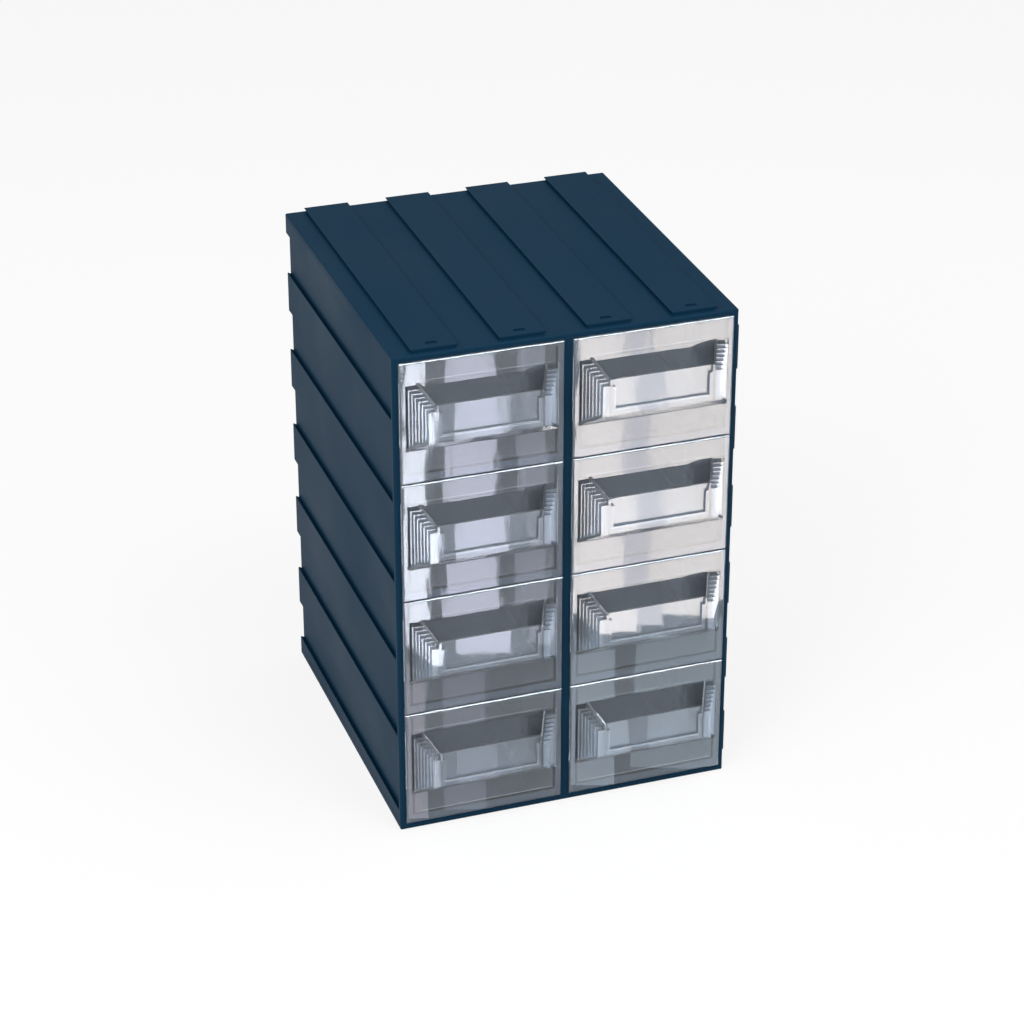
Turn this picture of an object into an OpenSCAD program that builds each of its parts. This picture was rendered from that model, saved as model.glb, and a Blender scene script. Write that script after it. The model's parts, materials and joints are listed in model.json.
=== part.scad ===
// Parts bin cabinet: a moulded casing of dovetailed panels with eight clear drawers.
// Millimetres. +Z is up, the drawers open towards -Y, and the origin is the middle of the base.
// Inside the modules y runs from 0 at the casing's front face to depth at its back.

/* [Casing] */
// Pitch of the dovetail grid: the cabinet is four cells wide and six cells high
cell = 52; // [48:0.5:60]
// Depth of the casing from its front face to its back edge
depth = 222; // [160:1:300]
// Thickness of every casing wall
wall = 2.4; // [2:0.1:2.8]
// Chamfer along the outer edges of the casing
edge_chamfer = 0.7; // [0.4:0.1:1]
// Depth of the front rim, which closes the grooves and frames the openings
rim = 3.4; // [2.6:0.1:4.5]
// How far the back panel lies inside the casing's back edge
back_recess = 1.5; // [1.2:0.1:3]
// Assembly clearance between two casing panels
fit = 0.15; // [0.1:0.05:0.25]

/* [Dovetails] */
// Width of a dovetail rib across its crest
rib_w = 28; // [22:0.5:30]
// Height of a dovetail rib
rib_h = 2; // [1.6:0.1:2.2]
// How much narrower a rib is at its root, each side
rib_undercut = 1.2; // [0.6:0.1:1.6]
// Side clearance of a rib in a neighbour's groove
rib_side_gap = 0.4; // [0.2:0.05:0.6]
// Head clearance of a rib in a neighbour's groove
rib_head_gap = 0.3; // [0.2:0.05:0.5]
// Distance from the front face to the front end of the ribs
rib_setback = 3.7; // [3.5:0.1:6]
// Length of the detent dimple in a rib's crest
detent_len = 7; // [5:0.5:10]
// Width of the detent dimple
detent_w = 3.6; // [2.5:0.1:5]
// Depth of the detent dimple
detent_deep = 0.8; // [0.5:0.1:1]
// Height of the pip in a groove that clicks into the dimple
detent_pip = 0.6; // [0.4:0.05:0.7]
// Distance from the front face to the middle of the dimple
detent_from_front = 9.5; // [8:0.5:14]

/* [Drawer fronts] */
// Casing left bare between the drawer fronts and the cabinet's sides
side_margin = 3.5; // [3:0.1:5]
// Casing left bare between the two columns of fronts
mid_stile = 5.5; // [4.5:0.1:8]
// Casing left bare above the top row of fronts
top_rail = 3.2; // [2.8:0.1:5]
// Casing left bare below the bottom row of fronts
bottom_rail = 5.2; // [4:0.1:8]
// Gap between the fronts of two rows
front_gap = 0.5; // [0.4:0.1:1.5]
// Thickness of a drawer front
front_t = 2; // [1.6:0.1:3]
// Running gap between a drawer front and the casing
front_seat = 0.3; // [0.3:0.05:0.6]
// Chamfer round the face of a drawer front
front_chamfer = 0.7; // [0.4:0.1:1]

/* [Trays] */
// How far the tray's sides stand in from the front's edges
tray_inset = 3.6; // [3:0.1:5]
// Height of the tray's underside above the front's lower edge
tray_lift = 5; // [4.5:0.1:7]
// Depth of the tray's rim below the front's upper edge
tray_drop = 3; // [2.5:0.1:6]
// Thickness of the tray's walls
tray_wall = 1.6; // [1.2:0.1:2.2]
// Thickness of the tray's floor
tray_floor = 1.8; // [1.4:0.1:2.4]
// Radius of the tray's rear corners
tray_corner = 4; // [3:0.5:8]
// Free space between the tray and the back panel
tray_back_gap = 5.5; // [4:0.5:12]
// Running gap between the tray's underside and what carries it
tray_run = 0.3; // [0.3:0.05:0.5]
// Running gap between the tray's sides and the front rim
tray_side_gap = 0.6; // [0.4:0.05:0.9]
// Height of the stop on the tray's rear rim
stop_h = 2.6; // [2.4:0.1:2.8]
// Width of the stop on the tray's rear rim
stop_w = 24; // [12:1:40]
// Width of a slot that takes a cross divider
slot_w = 1.8; // [1.2:0.1:2.4]
// Thickness of the ribs that make a divider slot
slot_rib = 1.2; // [0.8:0.1:1.6]

/* [Pulls] */
// How far the pull stands out from the drawer front
pull_out = 14; // [12:0.5:20]
// Depth below the front's upper edge of the pull's mouth
pull_top = 13; // [11:0.1:16]
// Depth below the front's upper edge of the pull's front lip
pull_lip = 22; // [18:0.1:26]
// Depth below the front's upper edge of the pull's underside, at its front
pull_under_front = 44.6; // [40:0.1:48]
// Depth below the front's upper edge of the pull's underside, at the drawer front
pull_under_back = 54.5; // [50:0.1:60]
// Thickness of the pull's walls
pull_wall = 1.4; // [1:0.1:1.8]
// How far the pull's cheeks stand in from the front's edges, at the drawer front
cheek_back = 10.4; // [9:0.1:13]
// How far the pull's cheeks stand in from the front's edges, at the pull's front
cheek_front = 17.1; // [15.5:0.1:20]
// Depth of the sunk band across the drawer front, from the pull's mouth to its underside
band_deep = 0.7; // [0.4:0.1:0.9]
// How far the ends of the sunk band stand in from the front's edges
band_inset = 3.6; // [3:0.1:5]
// Thickness of a grip rib on the pull's cheeks
grip_rib = 1.1; // [0.8:0.1:1.4]
// How far the grip ribs stand in from the front's edges, at the drawer front
grip_back = 3; // [2:0.1:5]
// How far the grip ribs stand in from the front's edges, at the pull's front
grip_front = 12.4; // [11:0.1:13.5]
// Depth below the front's upper edge of the grip ribs' tops, on their line at the drawer front
grip_top_back = 14; // [13.5:0.1:17]
// Depth below the front's upper edge of the foremost grip rib's top
grip_top_front = 25.2; // [22:0.1:27]

/* [Label holder] */
// Width of the label holder's side borders
label_side = 3.4; // [2.5:0.1:6]
// Height of the label holder's lower border
label_foot = 3.2; // [2.5:0.1:6]
// Depth of the label holder's side borders below the pull's lip
label_drop = 4; // [2:0.1:8]
// Thickness of the slot that takes a label card
label_slot = 0.7; // [0.5:0.05:1]
// Thickness of the lips in front of a label card
label_skin = 0.9; // [0.6:0.1:1.2]
// How far the lips reach over a label card
label_lap = 1.6; // [1:0.1:2.5]

/* [Shelves, partition and back] */
// Thickness of a shelf
shelf_t = 2.2; // [1.8:0.1:2.6]
// Thickness of a shelf's front flange
flange_t = 2.2; // [1.6:0.1:2.4]
// How far a front flange reaches down behind the drawer front below it
flange_lap = 1.2; // [0.8:0.1:1.4]
// Thickness of the guide ribs that hold shelves, partition and side panels
guide = 1.6; // [1.2:0.1:2]
// Height of the guide ribs on the base and under the top
guide_h = 3.2; // [2.4:0.1:3.6]
// Distance of the tray runners from the middle of a column
runner_from_mid = 34; // [20:1:38]

/* [Hidden] */
$fn = 48;

CASING_BLUE = [0.12, 0.22, 0.31];
CLEAR = [0.80, 0.83, 0.86, 0.55];

cells_wide = 4;
cells_high = 6;
columns = 2;
rows = 4;
grip_ribs = 7;
divider_slots = 3;
snaps = 3;
e = 0.01;                     // overlap of pieces that are fused

width = cells_wide * cell;
height = cells_high * cell;
half_w = width / 2;

// Dovetails
rib_root = rib_w - 2 * rib_undercut;
groove_mouth = rib_root + 2 * rib_side_gap;
groove_floor = rib_w + 2 * rib_side_gap;
groove_deep = rib_h + rib_head_gap;
groove_wall = groove_deep + wall;            // thickness of a wall with grooves

// Drawer fronts, one to each column and row
front_w = (width - 2 * side_margin - mid_stile) / columns;
row_pitch = (height - top_rail - bottom_rail + front_gap) / rows;
front_h = row_pitch - front_gap;
face_y = -front_seat - front_t;
function column_x(c) = (c - 0.5) * (front_w + mid_stile);
function row_z(r) = height - top_rail - (r - 1) * row_pitch - front_h;   // row 1 is the top one

// Trays
tray_w = front_w - 2 * tray_inset;
tray_rim = front_h - tray_drop;
back_y = depth - back_recess - wall;         // inner face of the back panel
tray_back = back_y - tray_back_gap;
tray_run_z = tray_lift - tray_run;           // what carries the tray, above the front's lower edge

// Casing, inside
open_half = tray_w / 2 + tray_side_gap;      // half the width of an opening
rim_x = side_margin + tray_inset - tray_side_gap;        // width of the side panels' front rims
bar_x = mid_stile / 2 + tray_inset - tray_side_gap;      // half the width of the partition's front bar
left_in = -half_w + groove_wall;
right_in = half_w - wall;
top_in = height - wall;
base_in = groove_wall;
web_x = wall / 2;
inner_back = back_y - fit;                   // where partition and shelves end
flange_under = front_gap + flange_lap;       // flange below the front's lower edge

// Pull: y of its face and of its root, and straight lines from its front to the drawer front
pull_y = face_y - pull_out;
pull_root = face_y + band_deep + e;
function along_pull(y, front, back) = front + (back - front) * (y - pull_y) / pull_out;
function grip_y(k) = pull_y + k * pull_out / grip_ribs;
label_t = label_slot + label_skin;

// ---------- helpers ----------

// A 2D shape in x and z, drawn out from y0 to y1
module along_y(y0, y1) {
    translate([0, y1, 0]) rotate([90, 0, 0]) linear_extrude(y1 - y0) children();
}

// A 2D shape in y and z, drawn out from x0 to x1
module along_x(x0, x1) {
    translate([x0, 0, 0]) rotate([90, 0, 90]) linear_extrude(x1 - x0) children();
}

// A box from its lowest to its highest corner
module box(a, b) {
    translate(a) cube([b[0] - a[0], b[1] - a[1], b[2] - a[2]]);
}

module mirrored_x() {
    children();
    mirror([1, 0, 0]) children();
}

// A rectangle with its corners cut off
module cut_rect(a, b, c) {
    polygon([[a[0] + c, a[1]], [b[0] - c, a[1]], [b[0], a[1] + c], [b[0], b[1] - c],
             [b[0] - c, b[1]], [a[0] + c, b[1]], [a[0], b[1] - c], [a[0], a[1] + c]]);
}

// The casing's outer block, its edges chamfered
module casing_block() {
    intersection() {
        along_y(0, depth) cut_rect([-half_w, 0], [half_w, height], edge_chamfer);
        along_x(-half_w, half_w) cut_rect([0, 0], [depth, height], edge_chamfer);
        linear_extrude(height) cut_rect([-half_w, 0], [half_w, depth], edge_chamfer);
    }
}

// ---------- dovetail walls ----------
// Sections run along u, with the outer face at v = 0 and the outside towards +v.

module groove_section(cells) {
    for (i = [0 : cells - 1]) translate([(i + 0.5) * cell, 0])
        polygon([[-groove_mouth / 2, e], [-groove_floor / 2, -groove_deep],
                 [groove_floor / 2, -groove_deep], [groove_mouth / 2, e]]);
}

module rib_section(cells) {
    for (i = [0 : cells - 1]) translate([(i + 0.5) * cell, 0])
        polygon([[-rib_root / 2, -e], [-rib_w / 2, rib_h], [rib_w / 2, rib_h], [rib_root / 2, -e]]);
}

// Hollows inside a grooved wall, one behind each land between two grooves
module land_core_section(cells) {
    half = (cell - groove_floor) / 2 - wall;
    for (i = [1 : cells - 1]) translate([i * cell, 0])
        translate([-half, -groove_wall - e]) square([2 * half, groove_deep + e]);
}

// Hollows inside a ribbed wall, one under each rib
module rib_core_section(cells) {
    half = rib_root / 2 - wall;
    for (i = [0 : cells - 1]) translate([(i + 0.5) * cell - half, -wall - e])
        square([2 * half, rib_h + e]);
}

// Stadium-shaped outline of the detents, long along u
module detent_section() {
    straight = detent_len - detent_w;
    square([straight, detent_w], center = true);
    for (s = [-1, 1]) translate([s * straight / 2, 0]) circle(d = detent_w);
}

// Detent in every cell, between v0 and v1, with y running up from the front face
module detents(cells, v0, v1) {
    for (i = [0 : cells - 1])
        translate([(i + 0.5) * cell, detent_from_front, v0])
            linear_extrude(v1 - v0) detent_section();
}

// A wall with dovetail grooves: flat on its outer face at z = 0, solid at its front rim
module grooved_wall(cells, cored) {
    along = cells * cell;
    difference() {
        box([0, 0, -groove_wall], [along, depth, 0]);
        along_y(rim, depth + e) groove_section(cells);
        if (cored) along_y(rim, back_y - rim) land_core_section(cells);
    }
    detents(cells, -groove_deep - e, -groove_deep + detent_pip);
}

// A wall with dovetail ribs standing on its outer face at z = 0
module ribbed_wall(cells) {
    along = cells * cell;
    difference() {
        union() {
            box([0, 0, -wall], [along, depth, 0]);
            along_y(rib_setback, depth) rib_section(cells);
        }
        along_y(rib_setback + wall, back_y - rim) rib_core_section(cells);
        detents(cells, rib_h - detent_deep, rib_h + e);
    }
}

// The space that one cabinet takes on its dovetail grid, ribs included
module casing_space() {
    casing_block();
    translate([-half_w, 0, height]) along_y(rib_setback, depth) rib_section(cells_wide);
    translate([half_w, 0, height]) rotate([0, 90, 0]) along_y(rib_setback, depth) rib_section(cells_high);
}

// ---------- casing ----------

// Height of the runners and shelf tops that carry the trays of row r
function carry_z(r) = row_z(r) + tray_run_z;

// Two ribs that hold a shelf's edge between them, drawn from x0 to x1
module shelf_guides(x0, x1) {
    for (r = [1 : rows - 1]) {
        box([x0, rim - e, carry_z(r) - shelf_t - fit - guide], [x1, inner_back, carry_z(r) - shelf_t - fit]);
        box([x0, rim - e, carry_z(r) + fit], [x1, inner_back, carry_z(r) + fit + guide]);
    }
}

// Rib in front of the back panel's edge, open where the shelves slide in, and the snap beads
// behind it, on a side wall at x
module back_seat(x, inward) {
    a = min(x, x + inward * guide);
    b = max(x, x + inward * guide);
    difference() {
        box([a, back_y - fit - guide, base_in], [b, back_y - fit, top_in]);
        for (r = [1 : rows - 1])
            box([a - e, back_y - fit - guide - e, carry_z(r) - shelf_t - fit], [b + e, back_y, carry_z(r) + fit]);
    }
    for (i = [1 : snaps])
        translate([x, back_y + wall + fit, height * (i - 0.5) / snaps])
            box([-back_recess / 4, 0, -cell / 8], [back_recess / 4, back_recess / 3, cell / 8]);
}

module left_side_panel() {
    color(CASING_BLUE) {
        intersection() {
            union() {
                translate([-half_w, 0, 0]) rotate([0, -90, 0]) grooved_wall(cells_high, true);
                box([-half_w, 0, 0], [-half_w + rim_x, rim, height]);
            }
            casing_block();
            box([-half_w, 0, base_in], [0, depth, top_in]);
        }
        shelf_guides(-half_w + wall, -half_w + rim_x - fit);
        back_seat(left_in, 1);
    }
}

module right_side_panel() {
    color(CASING_BLUE) {
        intersection() {
            union() {
                translate([half_w, 0, height]) rotate([0, 90, 0]) ribbed_wall(cells_high);
                box([half_w - rim_x, 0, 0], [half_w, rim, height]);
            }
            casing_space();
            box([0, 0, base_in], [half_w + rib_h + e, depth, top_in]);
        }
        shelf_guides(half_w - rim_x + fit, half_w - e);
        back_seat(right_in, -1);
    }
}

// Guide ribs beside the partition's web and inside the side panels, from z0 to z1
module panel_guides(z0, z1) {
    y0 = rim + guide;
    y1 = inner_back;
    for (s = [-1, 1])
        box([min(s * (web_x + fit), s * (web_x + fit + guide)), y0, z0],
            [max(s * (web_x + fit), s * (web_x + fit + guide)), y1, z1]);
    box([left_in + fit, y0, z0], [left_in + fit + guide, back_y - guide - 2 * fit, z1]);
    box([right_in - fit - guide, y0, z0], [right_in - fit, back_y - guide - 2 * fit, z1]);
}

// Front flanges between the rims and the partition, one to each column
module front_flanges(deep, z0, z1) {
    for (c = [0 : columns - 1])
        box([column_x(c) - open_half + fit, 0, z0], [column_x(c) + open_half - fit, deep, z1]);
}

module top_panel() {
    color(CASING_BLUE) {
        intersection() {
            translate([-half_w, 0, height]) ribbed_wall(cells_wide);
            casing_space();
        }
        panel_guides(top_in - guide_h, top_in + e);
        front_flanges(flange_t, row_z(1) + front_h - flange_lap, top_in + e);
        translate([0, back_y + wall + fit, top_in])
            box([-cell / 2, 0, -back_recess / 4], [cell / 2, back_recess / 3, e]);
    }
}

module base_panel() {
    color(CASING_BLUE) {
        intersection() {
            translate([-half_w, 0, 0]) mirror([0, 0, 1]) grooved_wall(cells_wide, false);
            casing_block();
        }
        panel_guides(base_in - e, base_in + guide_h);
        front_flanges(rim, base_in - e, carry_z(rows));
        for (c = [0 : columns - 1], s = [-1, 1])
            translate([column_x(c) + s * runner_from_mid, 0, 0])
                box([-guide / 2, rim - e, base_in - e], [guide / 2, inner_back, carry_z(rows)]);
        translate([0, back_y + wall + fit, base_in])
            box([-cell / 2, 0, -e], [cell / 2, back_recess / 3, back_recess / 4]);
    }
}

module back_panel() {
    color(CASING_BLUE)
        box([left_in + fit, back_y, base_in + fit], [right_in - fit, back_y + wall, top_in - fit]);
}

// Upright web with a wide front bar and guides for the shelves on both faces
module centre_partition() {
    reach = bar_x - fit;
    color(CASING_BLUE) {
        box([-web_x, 0, base_in], [web_x, inner_back, top_in]);
        box([-bar_x, 0, base_in], [bar_x, rim, top_in]);
        shelf_guides(-reach, -web_x + e);
        shelf_guides(web_x - e, reach);
    }
}

// A shelf with a flange under its front edge; ears beside the flange stop behind the rims
module shelf(c, r) {
    x0 = c == 0 ? left_in + fit : web_x + fit;
    x1 = c == 0 ? -web_x - fit : right_in - fit;
    mid = column_x(c);
    open = open_half - fit;
    color(CASING_BLUE) {
        box([x0, rim + fit, carry_z(r) - shelf_t], [x1, inner_back, carry_z(r)]);
        box([mid - open, 0, carry_z(r) - shelf_t], [mid + open, rim + fit + e, carry_z(r)]);
        box([mid - open, 0, row_z(r) - flange_under], [mid + open, flange_t, carry_z(r)]);
    }
}

// ---------- drawers ----------
// x runs from the middle of the column and z from the front's lower edge.

// Front plate, its face chamfered all round, with a shallow sunk band where the pull stands
module front_plate() {
    c = front_chamfer;
    band = front_w / 2 - band_inset;
    difference() {
        intersection() {
            linear_extrude(front_h)
                polygon([[-front_w / 2, -front_seat], [-front_w / 2, face_y + c],
                         [-front_w / 2 + c, face_y], [front_w / 2 - c, face_y],
                         [front_w / 2, face_y + c], [front_w / 2, -front_seat]]);
            along_x(-front_w / 2, front_w / 2)
                polygon([[-front_seat, 0], [face_y + c, 0], [face_y, c],
                         [face_y, front_h - c], [face_y + c, front_h], [-front_seat, front_h]]);
        }
        box([-band, face_y - e, front_h - pull_under_back], [band, face_y + band_deep, front_h - pull_top]);
    }
}

// Outline of the tray seen from above, w wide and ending at y1, its rear corners rounded
module tray_plan(w, y0, y1, r) {
    translate([-w / 2, y0]) square([w, y1 - y0 - r]);
    translate([-w / 2 + r, y0]) square([w - 2 * r, y1 - y0]);
    for (s = [-1, 1]) translate([s * (w / 2 - r), y1 - r]) circle(r);
}

// Pairs of ribs on the side walls, which hold cross dividers
module divider_ribs() {
    inner = tray_w / 2 - tray_wall;
    step = (tray_back - tray_wall) / (divider_slots + 1);
    for (i = [1 : divider_slots], s = [-1, 1])
        translate([0, i * step + s * (slot_w + slot_rib) / 2, 0]) mirrored_x()
            box([inner - slot_rib, -slot_rib / 2, tray_lift + tray_floor - e],
                [inner + e, slot_rib / 2, tray_rim - tray_drop]);
}

module tray() {
    difference() {
        translate([0, 0, tray_lift]) linear_extrude(tray_rim - tray_lift)
            tray_plan(tray_w, -front_seat - e, tray_back, tray_corner);
        translate([0, 0, tray_lift + tray_floor]) linear_extrude(tray_rim)
            tray_plan(tray_w - 2 * tray_wall, -front_seat, tray_back - tray_wall, tray_corner - tray_wall);
    }
    divider_ribs();
    box([-stop_w / 2, tray_back - tray_wall, tray_rim - e], [stop_w / 2, tray_back, tray_rim + stop_h]);
}

// One of the pull's two cheeks: an upright wall that leans inwards towards the front
module pull_cheek() {
    back = front_w / 2 - along_pull(pull_root, cheek_front, cheek_back);
    front = front_w / 2 - cheek_front;
    top = front_h - along_pull(pull_root, pull_lip, pull_top);
    foot = front_h - along_pull(pull_root, pull_under_front, pull_under_back);
    intersection() {
        linear_extrude(front_h)
            polygon([[front, pull_y], [back, pull_root],
                     [back - pull_wall, pull_root], [front - pull_wall, pull_y]]);
        along_x(0, front_w / 2)
            polygon([[pull_y, front_h - pull_under_front], [pull_y, front_h - pull_lip],
                     [pull_root, top], [pull_root, foot]]);
    }
}

// Sloping underside, as wide as the grip ribs
module pull_under() {
    rise = pull_wall * norm([pull_out, pull_under_back - pull_under_front]) / pull_out;
    front = front_w / 2 - grip_front;
    back = front_w / 2 - along_pull(pull_root, grip_front, grip_back);
    foot = front_h - along_pull(pull_root, pull_under_front, pull_under_back);
    intersection() {
        linear_extrude(front_h)
            polygon([[-front, pull_y], [front, pull_y], [back, pull_root], [-back, pull_root]]);
        along_x(-front_w / 2, front_w / 2)
            polygon([[pull_y, front_h - pull_under_front], [pull_y, front_h - pull_under_front + rise],
                     [pull_root, foot + rise], [pull_root, foot]]);
    }
}

// Upright ribs across each cheek, stepping outwards and upwards from the pull's front
module grip_rib_set() {
    for (k = [0 : grip_ribs - 1]) {
        y = grip_y(k);
        outer = front_w / 2 - along_pull(y, grip_front, grip_back);
        inner = front_w / 2 - along_pull(y + grip_rib, cheek_front, cheek_back) - pull_wall / 2;
        top = front_h - along_pull(y, grip_top_front, grip_top_back);
        under = front_h - along_pull(y, pull_under_front, pull_under_back);
        box([inner, y, under + e], [outer, y + grip_rib, top]);
    }
}

// Face of the pull, with a three-sided frame that holds a label card, open at the top
module pull_face() {
    half = front_w / 2 - cheek_front;
    foot = front_h - pull_under_front;
    lip = front_h - pull_lip;
    window = half - label_side;
    difference() {
        union() {
            box([-half, pull_y + label_t, foot], [half, pull_y + label_t + pull_wall, lip]);
            box([-half, pull_y, foot], [half, pull_y + label_t + e, lip - label_drop]);
        }
        box([-window, pull_y - e, foot + label_foot + label_lap],
            [window, pull_y + label_skin + e, lip]);
        box([-window - label_lap, pull_y + label_skin, foot + label_foot],
            [window + label_lap, pull_y + label_t, lip]);
    }
}

module drawer(c, r) {
    color(CLEAR) translate([column_x(c), 0, row_z(r)]) {
        front_plate();
        mirrored_x() pull_cheek();
        mirrored_x() grip_rib_set();
        pull_under();
        pull_face();
        tray();
    }
}

// ---------- assembly ----------

// Moves a piece so that the origin is the middle of the base
module placed() {
    translate([0, -depth / 2, 0]) children();
}

placed() left_side_panel();
placed() right_side_panel();
placed() top_panel();
placed() base_panel();
placed() back_panel();
placed() centre_partition();
placed() shelf(0, 1);  // shelf_left_1
placed() shelf(0, 2);  // shelf_left_2
placed() shelf(0, 3);  // shelf_left_3
placed() shelf(1, 1);  // shelf_right_1
placed() shelf(1, 2);  // shelf_right_2
placed() shelf(1, 3);  // shelf_right_3
placed() drawer(0, 1);  // drawer_left_1
placed() drawer(0, 2);  // drawer_left_2
placed() drawer(0, 3);  // drawer_left_3
placed() drawer(0, 4);  // drawer_left_4
placed() drawer(1, 1);  // drawer_right_1
placed() drawer(1, 2);  // drawer_right_2
placed() drawer(1, 3);  // drawer_right_3
placed() drawer(1, 4);  // drawer_right_4
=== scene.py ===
"""Dresses the parts bin cabinet: clear drawers made by a node tree, casing finishes, stage and camera."""

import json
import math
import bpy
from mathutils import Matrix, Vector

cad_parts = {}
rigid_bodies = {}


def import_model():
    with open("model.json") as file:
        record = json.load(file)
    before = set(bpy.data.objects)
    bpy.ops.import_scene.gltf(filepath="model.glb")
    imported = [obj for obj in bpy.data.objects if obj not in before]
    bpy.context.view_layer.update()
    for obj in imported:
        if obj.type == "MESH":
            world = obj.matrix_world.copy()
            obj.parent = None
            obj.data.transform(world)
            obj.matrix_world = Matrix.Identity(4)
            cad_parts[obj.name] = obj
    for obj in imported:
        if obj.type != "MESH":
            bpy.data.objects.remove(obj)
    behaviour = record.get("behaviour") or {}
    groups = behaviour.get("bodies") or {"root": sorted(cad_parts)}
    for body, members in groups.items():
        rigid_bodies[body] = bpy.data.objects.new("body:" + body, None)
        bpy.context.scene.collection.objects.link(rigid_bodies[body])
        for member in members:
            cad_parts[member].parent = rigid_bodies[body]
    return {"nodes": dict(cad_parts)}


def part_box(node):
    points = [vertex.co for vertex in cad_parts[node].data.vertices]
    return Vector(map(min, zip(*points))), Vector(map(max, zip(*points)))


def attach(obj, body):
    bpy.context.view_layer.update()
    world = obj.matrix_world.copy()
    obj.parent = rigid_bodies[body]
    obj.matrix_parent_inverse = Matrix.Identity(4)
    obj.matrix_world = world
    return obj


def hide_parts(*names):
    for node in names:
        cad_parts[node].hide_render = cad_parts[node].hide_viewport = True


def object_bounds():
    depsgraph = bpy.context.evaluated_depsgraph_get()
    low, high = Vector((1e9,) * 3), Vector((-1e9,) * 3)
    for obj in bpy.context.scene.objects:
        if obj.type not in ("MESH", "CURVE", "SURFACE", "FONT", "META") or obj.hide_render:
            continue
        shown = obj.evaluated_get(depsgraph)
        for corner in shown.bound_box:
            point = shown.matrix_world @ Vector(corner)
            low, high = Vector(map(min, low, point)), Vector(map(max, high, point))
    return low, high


bl_info = {
    "name": "Parts Bin Cabinet",
    "version": (1, 0, 0),
    "blender": (4, 5, 0),
    "location": "View3D > Sidebar > Parts Bins",
    "description": "Makes the clear drawers and finishes of a dovetailed parts bin cabinet",
    "category": "Add Mesh",
}

import bmesh
import bpy
from bpy.props import FloatProperty, FloatVectorProperty, IntProperty, PointerProperty
from mathutils import Matrix, Vector

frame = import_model()
CAD_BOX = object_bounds()

DRAWERS = [name for name in frame["nodes"] if name.startswith("drawer_")]
PANELS = [name for name in frame["nodes"] if name not in DRAWERS]
MM = 0.001

# Points of a casing part that are closer than this are one point, and faces at less than this angle one face
WELD = 0.1 * MM
LEVEL = math.radians(1.0)
# An outer edge of the casing that is long enough is rounded where its faces meet at more than this angle
SHARP = math.radians(30.0)
# How far the grip ribs stay inside the edge and above the underside of the plate that they stand on, so that
# no two faces lie in one plane when a drawer's parts are fused
RIB_SHY = 0.05 * MM
RIB_RAISE = 0.1 * MM
# Points of a fused drawer that are closer than this are one point
FUSED_WELD = 0.004 * MM
# Steps round each rear corner of a tray
CORNER_STEPS = 8

POLYSTYRENE_IOR = 1.59
EVEN = (1.0, 1.0, 1.0)
WHITE = (1.0, 1.0, 1.0)
DOWN = Vector((0.0, 0.0, -1.0))

# Half the floor's width, and the gap that keeps it off the underside
FLOOR_REACH = 6.0
FLOOR_GAP = 0.0002
# Share of plain white in what the camera, mirrors and clear parts see of the floor
FLOOR_GLOW = 0.80

SENSOR_WIDTH = 36.0
CLIP_END = 50.0

# Edge length, place and colour of the two lamps that light everything
KEY_LAMP = (1.3, (-1.5, -1.2, 1.7), (1.0, 0.99, 0.97))
FILL_LAMP = (1.1, (0.62, -0.95, 1.9), (0.97, 0.98, 1.0))
# Card overhead that only the drawers mirror: its size and place
GLINT_CARD = (1.0, 0.9)
GLINT_PLACE = (0.55, -1.0, 1.9)
# Card behind the cabinet that only the drawers mirror: its size and its distance from the camera's aim
BACK_CARD = (0.9, 0.5)
BACK_DISTANCE = 1.4
# Height of the window panes above the floor
PANE_LIFT = 0.004
# Window panes, by the place on the fronts that mirrors them: left and right end, lower and upper height, all
# in millimetres, then relative brightness and colour
PANES = (
    (-99, -86, 128, 330, 1.6, (1.0, 0.94, 0.94)),
    (-73, -45, 128, 330, 0.82, (1.0, 0.92, 1.0)),
    (-31, -13, 128, 330, 0.24, (0.98, 0.92, 1.0)),
    (4, 33, 128, 330, 1.4, (1.0, 0.84, 0.73)),
    (33, 50, 128, 330, 0.85, (1.0, 0.86, 0.82)),
    (50, 104, 128, 330, 1.25, (1.0, 0.84, 0.72)),
    (-99, -88, 8, 116, 0.30, (1.0, 0.84, 0.88)),
    (-76, -52, 8, 116, 0.14, (0.92, 0.88, 1.0)),
    (4, 30, 8, 116, 0.28, (0.90, 0.97, 1.0)),
    (46, 104, 8, 116, 0.20, (0.88, 0.98, 1.0)),
)


# ---------------------------------------------------------------- settings


def length(name, description, default_mm, high=1000.0):
    """A length property, given in millimetres and kept in metres."""
    return FloatProperty(
        name=name, description=description, default=default_mm * MM,
        min=0.0, soft_max=high * MM, unit="LENGTH", precision=5,
    )


def amount(name, description, default, **more):
    """A number property that isn't below zero."""
    return FloatProperty(name=name, description=description, default=default, min=0.0, **more)


def angle(name, description, degrees):
    """An angle property, given in degrees."""
    return FloatProperty(name=name, description=description, default=math.radians(degrees), subtype="ANGLE")


def colour(name, description, default):
    """A colour property in linear RGB."""
    return FloatVectorProperty(
        name=name, description=description, default=default, size=3, min=0.0, max=1.0, subtype="COLOR"
    )


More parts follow.
